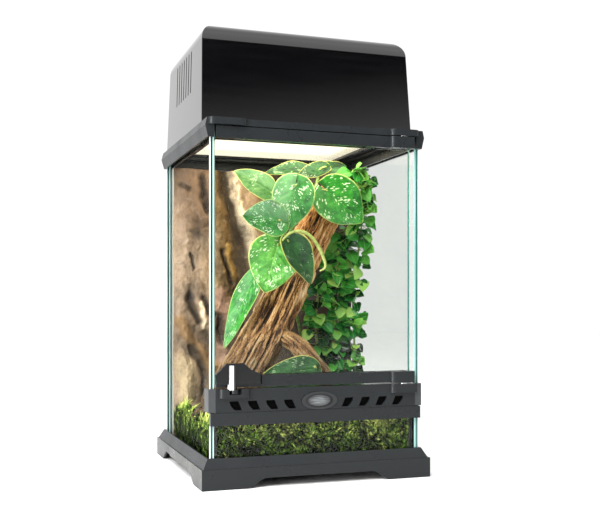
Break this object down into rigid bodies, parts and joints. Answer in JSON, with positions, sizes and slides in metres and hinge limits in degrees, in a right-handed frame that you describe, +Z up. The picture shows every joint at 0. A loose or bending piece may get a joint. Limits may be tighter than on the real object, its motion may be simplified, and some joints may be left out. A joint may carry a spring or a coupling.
{
  "type": "reptile terrarium",
  "caption": "Tall glass terrarium with a hinged front door, vent bar, mesh screen, lamp hood, rock background, driftwood and plants.",
  "frame": {"origin": "middle of the footprint on the floor", "axes": "+Z up, front door towards -Y, +X to the right seen from the front"},
  "size_m": [0.217, 0.217, 0.4157],
  "materials": {
    "frame_plastic": "satin moulded",
    "clip_plastic": "satin moulded",
    "knob_plastic": "semi-gloss moulded",
    "clear_glass": "polished float glass",
    "silicone": "cured sealant",
    "steel": "woven or turned",
    "mesh_steel": "powder coated mesh",
    "badge_metal": "satin plated",
    "hood_plastic": "high gloss",
    "tray_plastic": "satin",
    "opal": "opal",
    "aluminium": "polished sheet",
    "porcelain": "glazed",
    "lamp_glass": "opal lamp glass",
    "box_plastic": "moulded",
    "black_rubber": "moulded",
    "switch_red": "translucent moulded",
    "foam_rock": "painted foam relief",
    "soil": "damp soil",
    "moss": "living moss",
    "wood": "weathered driftwood",
    "stem": "green stem",
    "leaf": "speckled leaf",
    "creeper_leaf": "small leaf"
  },
  "bodies": {
    "tank": {"base_frame": "frame_plastic", "bottom_glass": "clear_glass", "left_glass": "clear_glass", "right_glass": "clear_glass", "back_glass": "clear_glass", "front_glass": "clear_glass", "silicone_seams": "silicone", "vent_bar": "frame_plastic", "vent_mesh": "steel", "badge": "badge_metal", "vent_bar_clips": "clip_plastic", "lower_hinge_pin": "steel", "top_frame": "frame_plastic", "upper_hinge_pin": "steel", "rock_background": "foam_rock", "substrate": "soil", "moss_bed": "moss", "driftwood": "wood", "vine_stem": "stem", "satin_leaves": "leaf", "creeper_stems": "stem", "creeper_leaves": "creeper_leaf"},
    "door": {"door_glass": "clear_glass", "door_bottom_rail": "frame_plastic", "door_top_rail": "frame_plastic"},
    "latch": {"latch_knob": "knob_plastic", "latch_cam": "steel"},
    "inlet_left": {"inlet_slider_left": "knob_plastic"},
    "inlet_right": {"inlet_slider_right": "knob_plastic"},
    "screen": {"screen_frame": "frame_plastic", "screen_mesh": "mesh_steel", "screen_spline": "black_rubber"},
    "hood": {"hood_shell": "hood_plastic", "hood_tray": "tray_plastic", "diffuser": "opal", "reflector": "aluminium", "lamp_holder": "porcelain", "lamp": "lamp_glass", "ballast_box": "box_plastic", "hood_screws": "steel", "lead_gland": "black_rubber", "switch_body": "tray_plastic"},
    "rocker": {"switch_rocker": "switch_red"}
  },
  "joints": [
    {"name": "door_hinge", "type": "hinge", "parent": "tank", "child": "door", "pos_m": [0.084, -0.1025, 0.2], "axis": [0, 0, 1], "range_deg": [0, 110]},
    {"name": "latch_turn", "type": "hinge", "parent": "door", "child": "latch", "pos_m": [-0.0785, -0.1035, 0.095], "axis": [0, 0, -1], "range_deg": [0, 15]},
    {"name": "inlet_left_slide", "type": "slide", "parent": "tank", "child": "inlet_left", "axis": [1, 0, 0], "range_m": [0, 0.0225]},
    {"name": "inlet_right_slide", "type": "slide", "parent": "tank", "child": "inlet_right", "axis": [-1, 0, 0], "range_m": [0, 0.0225]},
    {"name": "screen_lift", "type": "slide", "parent": "tank", "child": "screen", "axis": [0, 0, 1], "range_m": [0, 0.06]},
    {"name": "hood_lift", "type": "slide", "parent": "screen", "child": "hood", "axis": [0, 0, 1], "range_m": [0, 0.12]},
    {"name": "rocker_tilt", "type": "hinge", "parent": "hood", "child": "rocker", "pos_m": [0.041, 0.0797, 0.3639], "axis": [1, 0, 0], "range_deg": [-16, 0]}
  ]
}
